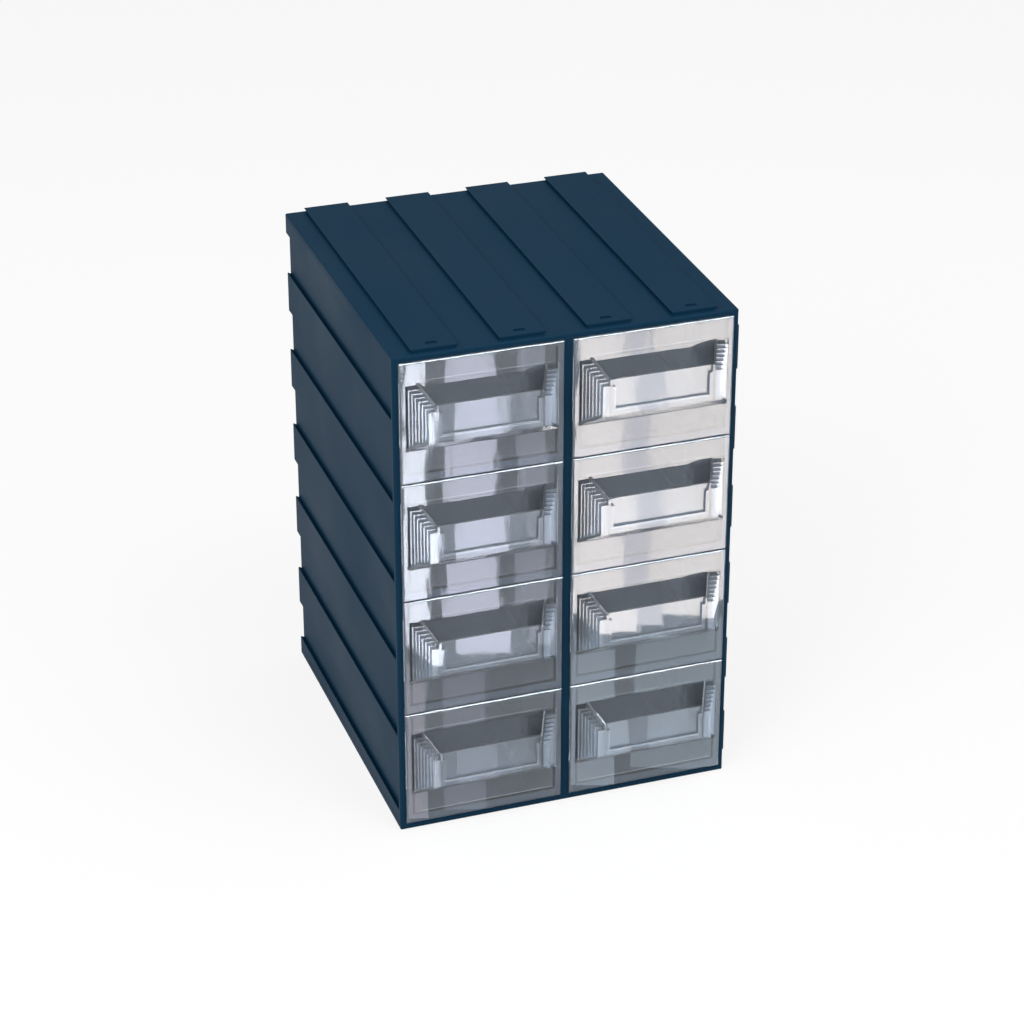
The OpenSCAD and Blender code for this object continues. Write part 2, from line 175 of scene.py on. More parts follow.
class BinsDrawerSettings(bpy.types.PropertyGroup):
    """Sizes and finish of the clear drawers"""

    front_thickness: length("Front thickness", "Thickness of a drawer front", 2.0)
    seat: length("Seat gap", "Gap between a drawer front and the casing", 0.3)
    chamfer: length("Front chamfer", "Chamfer round the face of a drawer front", 0.7)
    edge_round: length("Edge rounding", "Rounding of the moulding's sharp edges", 0.25)

    tray_inset: length("Tray inset", "How far the tray's sides stand in from the front's edges", 3.6)
    tray_lift: length("Tray lift", "Height of the tray's underside above the front's lower edge", 5.0)
    tray_drop: length("Tray drop", "Depth of the tray's rim below the front's upper edge", 3.0)
    tray_wall: length("Tray wall", "Thickness of the tray's walls", 1.6)
    tray_floor: length("Tray floor", "Thickness of the tray's floor", 1.8)
    tray_corner: length("Tray corner", "Radius of the tray's rear corners", 4.0)
    stop_height: length("Stop height", "Height of the stop on the tray's rear rim", 2.6)
    stop_width: length("Stop width", "Width of the stop on the tray's rear rim", 24.0)
    slot_count: IntProperty(
        name="Divider slots", description="Slots for cross dividers along the tray", default=3, min=1)
    slot_width: length("Slot width", "Width of a divider slot", 1.8)
    slot_rib: length("Slot rib", "Thickness of the ribs beside a divider slot", 1.2)

    mouth_drop: length("Mouth drop", "Depth of the pull's mouth below the front's upper edge", 13.0)
    band_depth: length("Band depth", "Depth of the sunk band across the front, where the pull stands", 0.7)
    band_inset: length("Band inset", "How far the sunk band's ends stand in from the front's edges", 3.6)
    sill: length(
        "Sill", "Height of the thin rib across the back of a front, level with the pull's mouth", 1.0)
    sill_reach: length("Sill reach", "How far that rib stands out from the back of the front", 1.4)
    lip_drop: length("Lip drop", "Depth of the pull's front lip below the front's upper edge", 22.0)
    under_front: length("Underside, front", "Depth of the pull's underside at its front", 44.6)
    under_back: length("Underside, back", "Depth of the pull's underside at the drawer front", 54.5)
    pull_wall: length("Pull wall", "Thickness of the pull's walls", 1.4)
    cheek_back: length("Cheek inset, back", "Inset of the pull's cheeks at the drawer front", 10.4)
    cheek_front: length("Cheek inset, front", "Inset of the pull's cheeks at the pull's front", 17.1)

    rib_count: IntProperty(name="Grip ribs", description="Upright ribs on each cheek", default=7, min=1)
    rib_thickness: length("Grip rib", "Thickness of a grip rib", 1.1)
    rib_back: length("Rib inset, back", "Inset of the grip ribs at the drawer front", 3.0)
    rib_front: length("Rib inset, front", "Inset of the grip ribs at the pull's front", 12.4)
    rib_top_back: length("Rib top, back", "Depth of the rib tops at the drawer front", 14.0)
    rib_top_front: length("Rib top, front", "Depth of the rib tops at the pull's front", 25.2)

    label_side: length("Label border", "Width of the label holder's side borders", 3.4)
    label_foot: length("Label foot", "Height of the label holder's lower border", 3.2)
    label_drop: length("Label drop", "Depth of the label borders below the pull's lip", 4.0)
    label_slot: length("Label slot", "Thickness of the label's slot", 0.7)
    label_skin: length("Label lip", "Thickness of the lips in front of a label", 0.9)
    label_lap: length("Label lap", "How far the lips reach over a label", 1.6)

    tint: colour("Tint", "Colour of the clear plastic", (0.85, 0.90, 0.96))
    clarity: amount("Clarity", "Share of light that passes the plastic", 0.955, max=1.0, subtype="FACTOR")
    sheen: colour("Sheen", "Colour of what the clear plastic mirrors", (0.78, 0.88, 1.0))


class BinsCasingSettings(bpy.types.PropertyGroup):
    """Edges and finish of the casing"""

    edge_round: length("Edge rounding", "Rounding of the casing's long outer edges", 0.3)
    edge_least: length("Least edge", "Length of the shortest edge that is rounded", 20.0)
    skin: length("Skin", "How far in from the casing's outside an edge still counts as an outer one", 2.4)
    blue: colour("Blue", "Colour of the casing", (0.0035, 0.0265, 0.0560))
    scuffed: colour(
        "Scuffed blue", "Colour of the casing where it has rubbed on its neighbours", (0.018, 0.050, 0.085))
    grain: length("Grain", "Size of the moulded grain", 0.6)


class BinsStageSettings(bpy.types.PropertyGroup):
    """Camera, lamps and floor"""

    focal_length: FloatProperty(
        name="Focal length", description="Lens in millimetres on a 36 mm sensor", default=109.16, min=10.0)
    distance: length("Distance", "Distance from the camera to the point it looks at", 1787.0, high=5000.0)
    azimuth: angle("Azimuth", "Camera's turn to the left of the front", 19.02)
    pitch: angle("Pitch", "Camera's tilt downwards", 27.97)
    aim: FloatVectorProperty(
        name="Aim", description="Point that the camera looks at", default=(-0.0335, -0.111, 0.2041),
        subtype="TRANSLATION")
    floor: colour("Floor", "Colour of the floor", (0.86, 0.86, 0.86))
    key_power: amount("Key lamp", "Power of the key lamp", 34.0, unit="POWER")
    fill_power: amount("Fill lamp", "Power of the fill lamp", 16.0, unit="POWER")
    window: amount("Window", "Brightness of the window panes that the clear fronts mirror", 9.5)
    glint: amount("Glint", "Brightness of the card overhead that the drawers' upper edges mirror", 26.0)
    back: amount("Back card", "Brightness of the card behind, which the drawers' upward faces mirror", 7.0)
    sky: amount("Sky", "Brightness of the studio around the cabinet", 0.55)


# ---------------------------------------------------------------- node helpers


def input_of(node, key):
    """The input that key names, either by its number, as i0, or by its name with _ for each space."""
    numbered = key[0] == "i" and key[1:].isdigit()
    return node.inputs[int(key[1:])] if numbered else node.inputs[key.replace("_", " ")]


def add_node(tree, kind, settings=None, **inputs):
    """Adds a node; settings are its properties, and each input gets a value or another node's socket."""
    node = tree.nodes.new(kind)
    for key, value in (settings or {}).items():
        setattr(node, key, value)
    for key, value in inputs.items():
        if isinstance(value, bpy.types.NodeSocket):
            tree.links.new(value, input_of(node, key))
        else:
            input_of(node, key).default_value = value
    return node


def calc(tree, operation, *values):
    """A math node's result."""
    return add_node(tree, "ShaderNodeMath", {"operation": operation},
                    **{f"i{i}": value for i, value in enumerate(values)}).outputs[0]


def ramp(tree, value, low, high, to_low=0.0, to_high=1.0):
    """Maps value from low..high to to_low..to_high, clamped."""
    node = add_node(tree, "ShaderNodeMapRange", i0=value, i1=low, i2=high, i3=to_low, i4=to_high)
    return node.outputs["Result"]


# ---------------------------------------------------------------- materials


def new_material(name):
    """An empty node material with its output; returns (material, tree, output)."""
    material = bpy.data.materials.new(name)
    material.use_nodes = True
    tree = material.node_tree
    tree.nodes.clear()
    return material, tree, tree.nodes.new("ShaderNodeOutputMaterial")


def rgba(tone, factor=1.0):
    """A colour times factor, for a socket."""
    return (*[min(1.0, part * factor) for part in tone], 1.0)


def mixed_colour(tree, factor, first, second):
    """Blend from the first colour to the second."""
    mix = add_node(tree, "ShaderNodeMix", {"data_type": "RGBA"}, Factor=factor, i6=first, i7=second)
    return mix.outputs[2]


def stretched_noise(tree, stretch, scale, detail=2.0, roughness=0.5):
    """Noise on Object coordinates, stretched by the given factors."""
    place = add_node(tree, "ShaderNodeTexCoord").outputs["Object"]
    mapped = add_node(tree, "ShaderNodeMapping", Vector=place, Scale=stretch).outputs["Vector"]
    noise = add_node(tree, "ShaderNodeTexNoise", Vector=mapped, Scale=scale, Detail=detail,
                     Roughness=roughness)
    return noise.outputs["Fac"]


def casing_plastic(settings):
    """Dark blue moulded plastic with a fine grain and faint rub marks along the sliding direction."""
    material, tree, output = new_material("casing_blue_plastic")
    blotches = stretched_noise(tree, EVEN, scale=9.0, detail=3.0)
    rubs = stretched_noise(tree, (1.0, 0.045, 1.0), scale=420.0, detail=4.0, roughness=0.62)
    worn = calc(tree, "MULTIPLY", ramp(tree, rubs, 0.56, 0.80), ramp(tree, blotches, 0.42, 0.66))
    tone = mixed_colour(tree, ramp(tree, worn, 0.0, 1.0, to_high=0.30),
                        rgba(settings.blue), rgba(settings.scuffed))
    grain = stretched_noise(tree, EVEN, scale=1.0 / settings.grain)
    bump = add_node(tree, "ShaderNodeBump", Height=grain, Strength=0.10, Distance=0.0002)
    shader = add_node(tree, "ShaderNodeBsdfPrincipled", Base_Color=tone, Normal=bump.outputs[0],
                      Roughness=ramp(tree, blotches, 0.3, 0.7, to_low=0.48, to_high=0.60),
                      Specular_IOR_Level=0.06)
    tree.links.new(shader.outputs[0], output.inputs["Surface"])
    return material


def clear_plastic(settings):
    """Clear, slightly milky polystyrene with faint flow marks from the mould."""
    material, tree, output = new_material("clear_drawer_plastic")
    flow = stretched_noise(tree, (1.0, 1.0, 0.25), scale=38.0)
    ripple = stretched_noise(tree, (1.0, 1.0, 0.35), scale=120.0, detail=1.0)
    tone = mixed_colour(tree, ramp(tree, flow, 0.3, 0.7),
                        rgba(settings.tint, factor=0.97), rgba(settings.tint, factor=1.02))
    bump = add_node(tree, "ShaderNodeBump", Height=ripple, Strength=0.12, Distance=0.0004)
    shader = add_node(tree, "ShaderNodeBsdfPrincipled", Base_Color=tone, Normal=bump.outputs[0],
                      Roughness=ramp(tree, flow, 0.3, 0.7, to_low=0.03, to_high=0.06),
                      IOR=POLYSTYRENE_IOR, Transmission_Weight=settings.clarity,
                      Specular_Tint=rgba(settings.sheen))
    tree.links.new(shader.outputs[0], output.inputs["Surface"])
    return material


def floor_paper(settings):
    """Pale studio floor, white to the camera but keeping the cabinet's shadow."""
    material, tree, output = new_material("studio_floor")
    mottle = stretched_noise(tree, EVEN, scale=3.0)
    tone = mixed_colour(tree, mottle, rgba(settings.floor), rgba(settings.floor, factor=1.03))
    diffuse = add_node(tree, "ShaderNodeBsdfDiffuse", Color=tone)
    glow = add_node(tree, "ShaderNodeEmission", Color=rgba(WHITE), Strength=1.0)
    ray = add_node(tree, "ShaderNodeLightPath").outputs
    direct = calc(tree, "MAXIMUM", ray["Is Camera Ray"], ray["Is Glossy Ray"])
    direct = calc(tree, "MAXIMUM", direct, ray["Is Transmission Ray"])
    share = calc(tree, "MULTIPLY", direct, FLOOR_GLOW)
    mixed = add_node(tree, "ShaderNodeMixShader", i0=share, i1=diffuse.outputs[0], i2=glow.outputs[0])
    tree.links.new(mixed.outputs[0], output.inputs["Surface"])
    return material


# ---------------------------------------------------------------- mesh helpers


def new_object(name, data):
    """A new object in the scene."""
    made = bpy.data.objects.new(name, data)
    bpy.context.scene.collection.objects.link(made)
    return made


def mesh_of(bm, name):
    """The bmesh as a mesh of the given name; frees the bmesh."""
    mesh = bpy.data.meshes.new(name)
    bm.to_mesh(mesh)
    bm.free()
    return mesh


def prism(bm, near, far):
    """Closed solid between two outlines of equally many points in matching order; returns their points."""
    a = [bm.verts.new(p) for p in near]
    b = [bm.verts.new(p) for p in far]
    faces = [bm.faces.new(a), bm.faces.new(b[::-1])]
    for i in range(len(a)):
        j = (i + 1) % len(a)
        faces.append(bm.faces.new((a[j], a[i], b[i], b[j])))
    bmesh.ops.recalc_face_normals(bm, faces=faces)
    return a, b


def block(bm, low, high):
    """Box from its lowest to its highest corner; returns its upper points."""
    (x0, y0, z0), (x1, y1, z1) = low, high
    ring = [(x0, y0), (x1, y0), (x1, y1), (x0, y1)]
    return prism(bm, [(x, y, z0) for x, y in ring], [(x, y, z1) for x, y in ring])[1]


def stacked_rings(bm, lines):
    """Closed solid through outlines of equally many points, capped at both ends; returns the rings."""
    rings = [[bm.verts.new(p) for p in line] for line in lines]
    faces = [bm.faces.new(rings[0]), bm.faces.new(rings[-1])]
    for near, far in zip(rings, rings[1:]):
        for i in range(len(near)):
            j = (i + 1) % len(near)
            faces.append(bm.faces.new((near[i], near[j], far[j], far[i])))
    bmesh.ops.recalc_face_normals(bm, faces=faces)
    return rings


def round_edges(bm, edges, radius, **options):
    """Rounds the edges in two steps."""
    bmesh.ops.bevel(bm, geom=edges, offset=radius, segments=2, profile=0.5, affect="EDGES", **options)


def soften(bm, points, radius):
    """Rounds the edges that run between the given points."""
    chosen = set(points)
    edges = [edge for edge in bm.edges if chosen.issuperset(edge.verts)]
    round_edges(bm, edges, radius, clamp_overlap=True)


# ---------------------------------------------------------------- casing


def rounded_panel(node, s, low, high):
    """Mesh of a casing part with its long outer edges rounded, low and high being the casing's corners."""
    bm = bmesh.new()
    bm.from_mesh(frame["nodes"][node].data)
    bmesh.ops.remove_doubles(bm, verts=bm.verts, dist=WELD)
    bmesh.ops.dissolve_limit(bm, angle_limit=LEVEL, verts=bm.verts, edges=bm.edges)

    def outer(edge):
        """Whether the edge is near the casing's sides, top or underside, or on its front."""
        at = (edge.verts[0].co + edge.verts[1].co) / 2
        return (at.x < low.x + s.skin or at.x > high.x - s.skin
                or at.z < low.z + s.skin or at.z > high.z - s.skin
                or at.y < low.y + s.edge_round)

    sharp = [edge for edge in bm.edges if edge.is_convex and edge.calc_face_angle(0.0) > SHARP
             and edge.calc_length() > s.edge_least and outer(edge)]
    round_edges(bm, sharp, s.edge_round)
    for face in bm.faces:
        face.smooth = False
    return mesh_of(bm, f"rounded_{node}")


# ---------------------------------------------------------------- drawers


def drawer_sizes():
    """Front width and height, then the casing's front, the pull's front and the tray's back, from the CAD."""
    low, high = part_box("drawer_left_1")
    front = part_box("base_panel")[0].y
    return high.x - low.x, high.z - low.z, front, low.y, high.y


def front_planes(s):
    """Inner plane and face of a drawer's front."""
    inner = drawer_sizes()[2] - s.seat
    return inner, inner - s.front_thickness


def tray_outline(half, y0, y1, radius):
    """Outline of the tray from above, its rear corners rounded."""
    points = [(-half, y0), (half, y0)]
    for side, start in ((1, 0.0), (-1, 0.5)):
        for i in range(CORNER_STEPS + 1):
            turn = math.pi * (start + 0.5 * i / CORNER_STEPS)
            points.append((side * (half - radius) + radius * math.cos(turn),
                           y1 - radius + radius * math.sin(turn)))
    return points


def tray_shell(bm, s, half, y0, y1, z0, z1):
    """Open-topped tray: outer wall, rim, inner wall and floor as one closed shell."""
    outer = tray_outline(half, y0, y1, s.tray_corner)
    inner = tray_outline(half - s.tray_wall, y0 + s.front_thickness / 4, y1 - s.tray_wall,
                         s.tray_corner - s.tray_wall)
    rings = stacked_rings(bm, [[(x, y, z) for x, y in line] for line, z in
                               ((outer, z0), (outer, z1), (inner, z1), (inner, z0 + s.tray_floor))])
    for ring in rings:
        soften(bm, ring, s.edge_round)


def front_plate(bm, s, half, height, inner, face):
    """Front with a chamfered face and a shallow sunk band where the pull stands."""
    def outline(inset, y):
        """The front's edge at plane y, moved in by inset."""
        left, right, low, high = -half + inset, half - inset, inset, height - inset
        return [(left, y, low), (right, y, low), (right, y, high), (left, y, high)]

    band, low, high = half - s.band_inset, height - s.under_back, height - s.mouth_drop
    sunk = [[(x, y, z) for x, z in ((-band, low), (band, low), (band, high), (-band, high))]
            for y in (face, face + s.band_depth)]
    rings = stacked_rings(
        bm, [outline(0.0, inner), outline(0.0, face + s.chamfer), outline(s.chamfer, face), *sunk])
    for ring in rings[1:4]:
        soften(bm, ring, s.edge_round)


def label_holder(bm, s, wide, foot, top, pull_y):
    """Face of the pull with the three-sided frame in front of it that holds a label, open at the top."""
    card = s.label_slot + s.label_skin
    upper = block(bm, (-wide, pull_y + card, foot), (wide, pull_y + card + s.pull_wall, top))
    soften(bm, upper, s.edge_round)

    border_top = top - s.label_drop

    def border(inside, sill):
        """U-shaped outline whose opening ends at inside and stands on sill."""
        return [(-wide, foot), (wide, foot), (wide, border_top), (inside, border_top),
                (inside, sill), (-inside, sill), (-inside, border_top), (-wide, border_top)]

    lips_in, slot_foot = wide - s.label_side, foot + s.label_foot
    slot_line = border(lips_in + s.label_lap, slot_foot)
    lips_line = border(lips_in, slot_foot + s.label_lap)
    prism(bm, [(x, pull_y + s.label_skin / 2, z) for x, z in slot_line],
          [(x, pull_y + card + s.pull_wall / 2, z) for x, z in slot_line])
    near, _ = prism(bm, [(x, pull_y, z) for x, z in lips_line],
                    [(x, pull_y + s.label_skin, z) for x, z in lips_line])
    soften(bm, near, s.edge_round)


def drawer_blank(s):
    """Every part of a drawer that doesn't repeat, as overlapping closed solids centred on the column."""
    width, height, _, pull_y, back = drawer_sizes()
    half = width / 2
    inner, face = front_planes(s)
    bm = bmesh.new()
    front_plate(bm, s, half, height, inner, face)

    rim = height - s.tray_drop
    tray_shell(bm, s, half - s.tray_inset, inner - s.front_thickness / 4, back, s.tray_lift, rim)
    stop = block(bm, (-s.stop_width / 2, back - s.tray_wall, rim - s.tray_wall),
                 (s.stop_width / 2, back, rim + s.stop_height))
    soften(bm, stop, s.edge_round)

    root = (face + s.band_depth + inner) / 2
    line = height - s.mouth_drop
    sill = block(bm, (-half + s.tray_inset + s.tray_wall / 2, root, line - s.sill / 2),
                 (half - s.tray_inset - s.tray_wall / 2, inner + s.sill_reach, line + s.sill / 2))
    soften(bm, sill, s.edge_round)

    def along(y, at_front, at_back):
        """Value at y of what changes evenly from the pull's front to the drawer's front."""
        return at_front + (at_back - at_front) * (y - pull_y) / (face - pull_y)

    def under(y):
        """Height of the pull's underside at y."""
        return height - along(y, s.under_front, s.under_back)

    for side in (1, -1):
        corners = [[(side * (half - along(y, s.cheek_front, s.cheek_back) - dx), y, z)
                    for z in (under(y), height - along(y, s.lip_drop, s.mouth_drop))]
                   for y, dx in ((pull_y, 0), (root, 0), (root, s.pull_wall), (pull_y, s.pull_wall))]
        _, tops = prism(bm, [p[0] for p in corners], [p[1] for p in corners])
        soften(bm, tops, s.edge_round)
    thick = s.pull_wall * math.hypot(1.0, (s.under_back - s.under_front) / (face - pull_y))
    wings = [(side * (half - along(y, s.rib_front, s.rib_back)), y)
             for side, y in ((-1, pull_y), (1, pull_y), (1, root), (-1, root))]
    prism(bm, [(x, y, under(y)) for x, y in wings], [(x, y, under(y) + thick) for x, y in wings])
    label_holder(bm, s, half - s.cheek_front, height - s.under_front, height - s.lip_drop, pull_y)
    return mesh_of(bm, "drawer_blank")


def node_group(name, sockets):
    """A geometry node group with the given inputs, as (name, kind, default) each."""
    group = bpy.data.node_groups.new(name, "GeometryNodeTree")
    for label, kind, default in sockets:
        item = group.interface.new_socket(label, in_out="INPUT", socket_type=kind)
        if default is not None:
            item.default_value = default
    group.interface.new_socket("Geometry", in_out="OUTPUT", socket_type="NodeSocketGeometry")
    return group, group.nodes.new("NodeGroupInput").outputs, group.nodes.new("NodeGroupOutput").inputs


def vector(tree, x, y, z):
    """A vector of three numbers."""
    return add_node(tree, "ShaderNodeCombineXYZ", X=x, Y=y, Z=z).outputs[0]


def between(tree, t, front, back):
    """Straight line from front at t = 0 to back at t = 1."""
    return calc(tree, "MULTIPLY_ADD", t, calc(tree, "SUBTRACT", back, front), front)


def middle(tree, first, second):
    """Half the sum of two numbers."""
    return calc(tree, "MULTIPLY", calc(tree, "ADD", first, second), 0.5)


def mirror_pair(tree, geometry):
    """The geometry and its mirror image in x, faces still outwards."""
    turned = add_node(tree, "GeometryNodeTransform", Geometry=geometry, Scale=(-1.0, 1.0, 1.0)).outputs[0]
    flipped = add_node(tree, "GeometryNodeFlipFaces", Mesh=turned).outputs[0]
    join = tree.nodes.new("GeometryNodeJoinGeometry")
    tree.links.new(flipped, join.inputs[0])
    tree.links.new(geometry, join.inputs[0])
    return join.outputs[0]


def sized_blocks(tree, count, size, place):
    """A block at each of count points, its size and place given as fields of the point's index."""
    line = add_node(tree, "GeometryNodeMeshLine", Count=count).outputs[0]
    points = add_node(tree, "GeometryNodeSetPosition", Geometry=line, Position=place).outputs[0]
    cube = add_node(tree, "GeometryNodeMeshCube", Size=(1.0, 1.0, 1.0)).outputs[0]
    placed = add_node(tree, "GeometryNodeInstanceOnPoints", Points=points, Instance=cube, Scale=size)
    return add_node(tree, "GeometryNodeRealizeInstances", Geometry=placed.outputs[0]).outputs[0]


def drawer_tree():
    """Adds grip ribs and divider ribs to a drawer blank and fuses it all."""
    names = ["Rib Thickness", "Pull Plane", "Pull Reach", "Rib Outer Front", "Rib Outer Back",
             "Rib Inner Front", "Rib Inner Back", "Rib Top Front", "Rib Top Back", "Rib Foot Front",
             "Rib Foot Back", "Slot Start", "Slot Step", "Slot Width", "Slot Rib", "Slot Wall", "Slot Foot",
             "Slot Top"]
    tree, given, result = node_group("clear_drawer", [
        ("Geometry", "NodeSocketGeometry", None), ("Material", "NodeSocketMaterial", None),
        ("Rib Count", "NodeSocketInt", 7), ("Slot Count", "NodeSocketInt", 3),
        *[(name, "NodeSocketFloat", 0.0) for name in names],
    ])
    index = tree.nodes.new("GeometryNodeInputIndex").outputs[0]

    t = calc(tree, "DIVIDE", index, given["Rib Count"])
    t_behind = calc(tree, "ADD", t, calc(tree, "DIVIDE", given["Rib Thickness"], given["Pull Reach"]))
    outer = between(tree, t, given["Rib Outer Front"], given["Rib Outer Back"])
    inner = between(tree, t_behind, given["Rib Inner Front"], given["Rib Inner Back"])
    top = between(tree, t, given["Rib Top Front"], given["Rib Top Back"])
    foot = between(tree, t, given["Rib Foot Front"], given["Rib Foot Back"])
    rib_y = calc(tree, "ADD", calc(tree, "MULTIPLY_ADD", t, given["Pull Reach"], given["Pull Plane"]),
                 calc(tree, "MULTIPLY", given["Rib Thickness"], 0.5))
    ribs = sized_blocks(
        tree, given["Rib Count"],
        vector(tree, calc(tree, "SUBTRACT", outer, inner), given["Rib Thickness"],
               calc(tree, "SUBTRACT", top, foot)),
        vector(tree, middle(tree, outer, inner), rib_y, middle(tree, top, foot)))

    slot = calc(tree, "FLOOR", calc(tree, "MULTIPLY", index, 0.5))
    side = calc(tree, "MULTIPLY_ADD", calc(tree, "MODULO", index, 2.0), 2.0, -1.0)
    offset = middle(tree, given["Slot Width"], given["Slot Rib"])
    slot_y = calc(tree, "ADD", calc(tree, "MULTIPLY_ADD", slot, given["Slot Step"], given["Slot Start"]),
                  calc(tree, "MULTIPLY", side, offset))
    slots = sized_blocks(
        tree, calc(tree, "MULTIPLY", given["Slot Count"], 2.0),
        vector(tree, calc(tree, "MULTIPLY", given["Slot Rib"], 2.0), given["Slot Rib"],
               calc(tree, "SUBTRACT", given["Slot Top"], given["Slot Foot"])),
        vector(tree, given["Slot Wall"], slot_y, middle(tree, given["Slot Top"], given["Slot Foot"])))

    fuse = add_node(tree, "GeometryNodeMeshBoolean", {"operation": "UNION", "solver": "EXACT"},
                    Self_Intersection=True)
    for part in (given["Geometry"], mirror_pair(tree, ribs), mirror_pair(tree, slots)):
        tree.links.new(part, fuse.inputs["Mesh 2"])
    clean = add_node(tree, "GeometryNodeMergeByDistance", Geometry=fuse.outputs[0], Distance=FUSED_WELD)
    whole = add_node(tree, "GeometryNodeRealizeInstances", Geometry=clean.outputs[0]).outputs[0]
    done = add_node(tree, "GeometryNodeSetMaterial", Geometry=whole, Material=given["Material"]).outputs[0]
    tree.links.new(done, result["Geometry"])
    return tree


def set_inputs(modifier, values):
    """Sets a node modifier's inputs by the names of its sockets."""
    for item in modifier.node_group.interface.items_tree:
        if item.item_type == "SOCKET" and item.in_out == "INPUT" and item.name in values:
            modifier[item.identifier] = values[item.name]


def moulded_drawer(s, material):
    """The finished drawer mesh, its node tree applied."""
    width, height, front, pull_y, back = drawer_sizes()
    half = width / 2
    _, face = front_planes(s)
    slot_step = (back - front - s.tray_wall) / (s.slot_count + 1)
    pattern = new_object("drawer_pattern", drawer_blank(s))
    maker = pattern.modifiers.new("clear_drawer", "NODES")
    maker.node_group = drawer_tree()
    set_inputs(maker, {
        "Material": material, "Rib Count": s.rib_count, "Slot Count": s.slot_count,
        "Rib Thickness": s.rib_thickness, "Pull Plane": pull_y, "Pull Reach": face - pull_y,
        "Rib Outer Front": half - s.rib_front - RIB_SHY, "Rib Outer Back": half - s.rib_back - RIB_SHY,
        "Rib Inner Front": half - s.cheek_front - s.pull_wall / 2,
        "Rib Inner Back": half - s.cheek_back - s.pull_wall / 2,
        "Rib Top Front": height - s.rib_top_front, "Rib Top Back": height - s.rib_top_back,
        "Rib Foot Front": height - s.under_front + RIB_RAISE,
        "Rib Foot Back": height - s.under_back + RIB_RAISE,
        "Slot Start": front + slot_step, "Slot Step": slot_step,
        "Slot Width": s.slot_width, "Slot Rib": s.slot_rib, "Slot Wall": half - s.tray_inset - s.tray_wall,
        "Slot Foot": s.tray_lift + s.tray_floor / 2, "Slot Top": height - 2 * s.tray_drop,
    })
    evaluated = pattern.evaluated_get(bpy.context.evaluated_depsgraph_get())
    mesh = bpy.data.meshes.new_from_object(evaluated)
    bpy.data.objects.remove(pattern)
    return mesh


# ---------------------------------------------------------------- stage


def add_floor(s):
    """A wide level sheet just under the cabinet."""
    bm = bmesh.new()
    bmesh.ops.create_grid(bm, x_segments=1, y_segments=1, size=FLOOR_REACH)
    mesh = mesh_of(bm, "studio_floor")
    mesh.materials.append(floor_paper(s))
    floor = new_object("studio_floor", mesh)
    floor.location.z = CAD_BOX[0][2] - FLOOR_GAP


def studio_world(s):
    """White to the camera, and as bright as the sky setting to everything else."""
    world = bpy.data.worlds.new("studio")
    world.use_nodes = True
    tree = world.node_tree
    background = tree.nodes["Background"]
    background.inputs["Color"].default_value = rgba(WHITE)
    seen = add_node(tree, "ShaderNodeLightPath").outputs["Is Camera Ray"]
    tree.links.new(ramp(tree, seen, 0.0, 1.0, to_low=s.sky), background.inputs["Strength"])
    return world


def look_direction(s):
    """Unit vector from the camera to its aim."""
    level = math.cos(s.pitch)
    return Vector((math.sin(s.azimuth) * level, math.cos(s.azimuth) * level, -math.sin(s.pitch)))


def turned_to(direction):
    """Rotation of a camera or lamp that looks in the given direction."""
    return direction.to_track_quat("-Z", "Y").to_euler()


def photo_camera(s, look):
    """The camera, standing back from its aim against the direction in which it looks."""
    data = bpy.data.cameras.new("photo_camera")
    data.lens = s.focal_length
    data.sensor_width = SENSOR_WIDTH
    data.clip_end = CLIP_END
    camera = new_object("photo_camera", data)
    camera.location = Vector(s.aim) - look * s.distance
    camera.rotation_euler = turned_to(look)
    return camera


def area_lamp(name, power, size, place, turn, tone):
    """A rectangular lamp, its rotation given as turn."""
    data = bpy.data.lights.new(name, "AREA")
    data.shape = "RECTANGLE"
    data.size, data.size_y = size
    data.energy = power
    data.color = tone
    lamp = new_object(name, data)
    lamp.location = place
    lamp.rotation_euler = turn
    return lamp


def mirrored_card(name, brightness, size, place, turn, tone, receivers):
    """A lamp seen only in the receivers' reflections: it lights nothing and doesn't show through them."""
    card = area_lamp(name, math.pi * brightness * size[0] * size[1], size, place, turn, tone)
    card.visible_camera = False
    card.visible_diffuse = False
    card.visible_transmission = False
    card.light_linking.receiver_collection = receivers


def mirrored_spot(eye, face, x, z):
    """Point at the panes' height that the drawer fronts, at y = face, mirror to the eye at x, z."""
    image = Vector((eye.x, 2 * face - eye.y, eye.z))
    return image + (Vector((x, face, z)) - image) * (eye.z - PANE_LIFT) / (eye.z - z)


def window_pane(name, eye, face, pane, window, receivers):
    """A level card above the floor that covers its place on the fronts as the eye sees them."""
    left, right, low, high, share, tone = pane
    corners = [mirrored_spot(eye, face, x * MM, z * MM)
               for x, z in ((left, low), (right, low), (right, high), (left, high))]
    centre = sum(corners, Vector()) / 4
    wide = ((corners[1] - corners[0]).length + (corners[2] - corners[3]).length) / 2
    away = (corners[2] + corners[3] - corners[0] - corners[1]) / 2
    across = away.cross(DOWN).normalized()
    turn = Matrix((across, away.normalized(), DOWN)).transposed().to_euler()
    mirrored_card(name, window * share, (wide, away.length), centre, turn, tone, receivers)


# ---------------------------------------------------------------- operators


class BINS_OT_casing(bpy.types.Operator):
    """Makes the casing's panels, partition and shelves with rounded outer edges"""

    bl_idname = "bins.casing"
    bl_label = "Make Casing"

    def execute(self, context):
        settings = context.scene.bins_casing
        plastic = casing_plastic(settings)
        boxes = [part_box(name) for name in PANELS]
        low = Vector([min(box[0][axis] for box in boxes) for axis in range(3)])
        high = Vector([max(box[1][axis] for box in boxes) for axis in range(3)])
        for name in PANELS:
            mesh = rounded_panel(name, settings, low, high)
            mesh.materials.append(plastic)
            panel = new_object(f"rounded_{name}", mesh)
            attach(panel, "casing")
            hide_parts(name)
        return {"FINISHED"}


